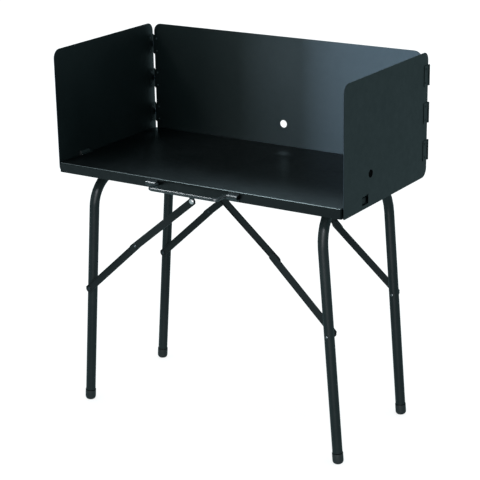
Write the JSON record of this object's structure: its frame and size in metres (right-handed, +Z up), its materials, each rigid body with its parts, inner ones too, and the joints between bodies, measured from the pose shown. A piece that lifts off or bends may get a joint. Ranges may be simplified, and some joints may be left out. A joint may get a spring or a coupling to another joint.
{
  "type": "outdoor cooking table",
  "caption": "Folding outdoor cooking table: pressed steel tray on two folding tube leg frames with jointed braces, a hinged lift-off windscreen on three sides and a wire bail handle.",
  "frame": {"origin": "centre of the outline, on the floor", "axes": "+X along the table to the right, -Y towards the open front with the handle, +Z up"},
  "size_m": [0.8274, 0.4791, 0.946],
  "materials": {
    "brace_bolt_left_front": "zinc plated",
    "brace_bolt_left_rear": "zinc plated",
    "brace_bolt_right_front": "zinc plated",
    "brace_bolt_right_rear": "zinc plated",
    "brace_bracket_left_front": "satin black powder coat",
    "brace_bracket_left_rear": "satin black powder coat",
    "brace_bracket_right_front": "satin black powder coat",
    "brace_bracket_right_rear": "satin black powder coat",
    "foot_left_front": "moulded black cap",
    "foot_left_rear": "moulded black cap",
    "foot_right_front": "moulded black cap",
    "foot_right_rear": "moulded black cap",
    "handle_bail": "satin black powder coat",
    "handle_clip_left": "satin black powder coat",
    "handle_clip_right": "satin black powder coat",
    "hinge_left_1_back_leaf": "satin black powder coat",
    "hinge_left_1_pin": "blackened steel",
    "hinge_left_1_side_leaf": "satin black powder coat",
    "hinge_left_2_back_leaf": "satin black powder coat",
    "hinge_left_2_pin": "blackened steel",
    "hinge_left_2_side_leaf": "satin black powder coat",
    "hinge_left_3_back_leaf": "satin black powder coat",
    "hinge_left_3_pin": "blackened steel",
    "hinge_left_3_side_leaf": "satin black powder coat",
    "hinge_right_1_back_leaf": "satin black powder coat",
    "hinge_right_1_pin": "blackened steel",
    "hinge_right_1_side_leaf": "satin black powder coat",
    "hinge_right_2_back_leaf": "satin black powder coat",
    "hinge_right_2_pin": "blackened steel",
    "hinge_right_2_side_leaf": "satin black powder coat",
    "hinge_right_3_back_leaf": "satin black powder coat",
    "hinge_right_3_pin": "blackened steel",
    "hinge_right_3_side_leaf": "satin black powder coat",
    "leg_frame_left": "satin black powder coat",
    "leg_frame_right": "satin black powder coat",
    "leg_rivet_left_front": "blackened steel",
    "leg_rivet_left_rear": "blackened steel",
    "leg_rivet_right_front": "blackened steel",
    "leg_rivet_right_rear": "blackened steel",
    "lower_brace_left_front": "satin black powder coat",
    "lower_brace_left_rear": "satin black powder coat",
    "lower_brace_right_front": "satin black powder coat",
    "lower_brace_right_rear": "satin black powder coat",
    "mid_rivet_left_front": "blackened steel",
    "mid_rivet_left_rear": "blackened steel",
    "mid_rivet_right_front": "blackened steel",
    "mid_rivet_right_rear": "blackened steel",
    "saddle_left_front": "satin black powder coat",
    "saddle_left_rear": "satin black powder coat",
    "saddle_right_front": "satin black powder coat",
    "saddle_right_rear": "satin black powder coat",
    "table_top": "satin black powder coat",
    "upper_brace_left_front": "satin black powder coat",
    "upper_brace_left_rear": "satin black powder coat",
    "upper_brace_right_front": "satin black powder coat",
    "upper_brace_right_rear": "satin black powder coat",
    "windscreen_back": "satin black powder coat",
    "windscreen_left": "satin black powder coat",
    "windscreen_right": "satin black powder coat"
  },
  "bodies": {
    "table": {"brace_bolt_left_front": "brace_bolt_left_front", "brace_bolt_left_rear": "brace_bolt_left_rear", "brace_bolt_right_front": "brace_bolt_right_front", "brace_bolt_right_rear": "brace_bolt_right_rear", "brace_bracket_left_front": "brace_bracket_left_front", "brace_bracket_left_rear": "brace_bracket_left_rear", "brace_bracket_right_front": "brace_bracket_right_front", "brace_bracket_right_rear": "brace_bracket_right_rear", "handle_clip_left": "handle_clip_left", "handle_clip_right": "handle_clip_right", "saddle_left_front": "saddle_left_front", "saddle_left_rear": "saddle_left_rear", "saddle_right_front": "saddle_right_front", "saddle_right_rear": "saddle_right_rear", "table_top": "table_top"},
    "leg_frame_left": {"foot_left_front": "foot_left_front", "foot_left_rear": "foot_left_rear", "leg_frame_left": "leg_frame_left", "leg_rivet_left_front": "leg_rivet_left_front", "leg_rivet_left_rear": "leg_rivet_left_rear"},
    "leg_frame_right": {"foot_right_front": "foot_right_front", "foot_right_rear": "foot_right_rear", "leg_frame_right": "leg_frame_right", "leg_rivet_right_front": "leg_rivet_right_front", "leg_rivet_right_rear": "leg_rivet_right_rear"},
    "handle": {"handle_bail": "handle_bail"},
    "windscreen_back": {"hinge_left_1_back_leaf": "hinge_left_1_back_leaf", "hinge_left_1_pin": "hinge_left_1_pin", "hinge_left_2_back_leaf": "hinge_left_2_back_leaf", "hinge_left_2_pin": "hinge_left_2_pin", "hinge_left_3_back_leaf": "hinge_left_3_back_leaf", "hinge_left_3_pin": "hinge_left_3_pin", "hinge_right_1_back_leaf": "hinge_right_1_back_leaf", "hinge_right_1_pin": "hinge_right_1_pin", "hinge_right_2_back_leaf": "hinge_right_2_back_leaf", "hinge_right_2_pin": "hinge_right_2_pin", "hinge_right_3_back_leaf": "hinge_right_3_back_leaf", "hinge_right_3_pin": "hinge_right_3_pin", "windscreen_back": "windscreen_back"},
    "windscreen_left": {"hinge_left_1_side_leaf": "hinge_left_1_side_leaf", "hinge_left_2_side_leaf": "hinge_left_2_side_leaf", "hinge_left_3_side_leaf": "hinge_left_3_side_leaf", "windscreen_left": "windscreen_left"},
    "windscreen_right": {"hinge_right_1_side_leaf": "hinge_right_1_side_leaf", "hinge_right_2_side_leaf": "hinge_right_2_side_leaf", "hinge_right_3_side_leaf": "hinge_right_3_side_leaf", "windscreen_right": "windscreen_right"},
    "lower_brace_left_front": {"lower_brace_left_front": "lower_brace_left_front"},
    "lower_brace_left_rear": {"lower_brace_left_rear": "lower_brace_left_rear"},
    "lower_brace_right_front": {"lower_brace_right_front": "lower_brace_right_front"},
    "lower_brace_right_rear": {"lower_brace_right_rear": "lower_brace_right_rear"},
    "upper_brace_left_front": {"mid_rivet_left_front": "mid_rivet_left_front", "upper_brace_left_front": "upper_brace_left_front"},
    "upper_brace_left_rear": {"mid_rivet_left_rear": "mid_rivet_left_rear", "upper_brace_left_rear": "upper_brace_left_rear"},
    "upper_brace_right_front": {"mid_rivet_right_front": "mid_rivet_right_front", "upper_brace_right_front": "upper_brace_right_front"},
    "upper_brace_right_rear": {"mid_rivet_right_rear": "mid_rivet_right_rear", "upper_brace_right_rear": "upper_brace_right_rear"}
  },
  "joints": [
    {"name": "leg_fold_left", "type": "hinge", "parent": "table", "child": "leg_frame_left", "pos_m": [-0.3305, 0.0219, 0.6182], "axis": [0, -1, 0], "range_deg": [0, 94.67]},
    {"name": "upper_brace_pivot_left_front", "type": "hinge", "parent": "table", "child": "upper_brace_left_front", "pos_m": [-0.0184, -0.1659, 0.609], "axis": [0, -1, 0], "range_deg": [-39.12, 0]},
    {"name": "lower_brace_pivot_left_front", "type": "hinge", "parent": "leg_frame_left", "child": "lower_brace_left_front", "pos_m": [-0.35484, -0.1575, 0.32029], "axis": [0, -1, 0], "range_deg": [0, 45.54]},
    {"name": "upper_brace_pivot_left_rear", "type": "hinge", "parent": "table", "child": "upper_brace_left_rear", "pos_m": [-0.0184, 0.1661, 0.609], "axis": [0, -1, 0], "range_deg": [-39.12, 0]},
    {"name": "lower_brace_pivot_left_rear", "type": "hinge", "parent": "leg_frame_left", "child": "lower_brace_left_rear", "pos_m": [-0.35484, 0.1745, 0.32029], "axis": [0, -1, 0], "range_deg": [0, 45.54]},
    {"name": "leg_fold_right", "type": "hinge", "parent": "table", "child": "leg_frame_right", "pos_m": [0.3255, 0.0219, 0.6446], "axis": [0, 1, 0], "range_deg": [0, 94.44]},
    {"name": "upper_brace_pivot_right_front", "type": "hinge", "parent": "table", "child": "upper_brace_right_front", "pos_m": [0.0043, -0.1168, 0.64], "axis": [0, 1, 0], "range_deg": [-40.49, 0]},
    {"name": "lower_brace_pivot_right_front", "type": "hinge", "parent": "leg_frame_right", "child": "lower_brace_right_front", "pos_m": [0.35029, -0.1252, 0.32506], "axis": [0, 1, 0], "range_deg": [0, 42.56]},
    {"name": "upper_brace_pivot_right_rear", "type": "hinge", "parent": "table", "child": "upper_brace_right_rear", "pos_m": [0.0043, 0.2097, 0.64], "axis": [0, 1, 0], "range_deg": [-44.15, 0]},
    {"name": "lower_brace_pivot_right_rear", "type": "hinge", "parent": "leg_frame_right", "child": "lower_brace_right_rear", "pos_m": [0.35029, 0.2013, 0.32506], "axis": [0, 1, 0], "range_deg": [0, 46.23]},
    {"name": "windscreen_lift", "type": "slide", "parent": "table", "child": "windscreen_back", "axis": [0, 0, 1], "range_m": [0, 0.12]},
    {"name": "windscreen_left_swing", "type": "hinge", "parent": "windscreen_back", "child": "windscreen_left", "pos_m": [-0.4112, 0.2371, 0.7], "axis": [0, 0, -1], "range_deg": [0, 250]},
    {"name": "windscreen_right_swing", "type": "hinge", "parent": "windscreen_back", "child": "windscreen_right", "pos_m": [0.4112, 0.2371, 0.7], "axis": [0, 0, 1], "range_deg": [0, 250]},
    {"name": "handle_swing", "type": "hinge", "parent": "table", "child": "handle", "pos_m": [0, -0.1951, 0.6473], "axis": [1, 0, 0], "range_deg": [-90, 90]}
  ],
  "couplings": [
    {"joint": "upper_brace_pivot_left_front", "follows": "leg_fold_left", "ratio": -0.41309},
    {"joint": "lower_brace_pivot_left_front", "follows": "leg_fold_left", "ratio": 0.48089},
    {"joint": "upper_brace_pivot_left_rear", "follows": "leg_fold_left", "ratio": -0.41309},
    {"joint": "lower_brace_pivot_left_rear", "follows": "leg_fold_left", "ratio": 0.48089},
    {"joint": "upper_brace_pivot_right_front", "follows": "leg_fold_right", "ratio": -0.42865},
    {"joint": "lower_brace_pivot_right_front", "follows": "leg_fold_right", "ratio": 0.45053},
    {"joint": "upper_brace_pivot_right_rear", "follows": "leg_fold_right", "ratio": -0.46742},
    {"joint": "lower_brace_pivot_right_rear", "follows": "leg_fold_right", "ratio": 0.48941}
  ]
}
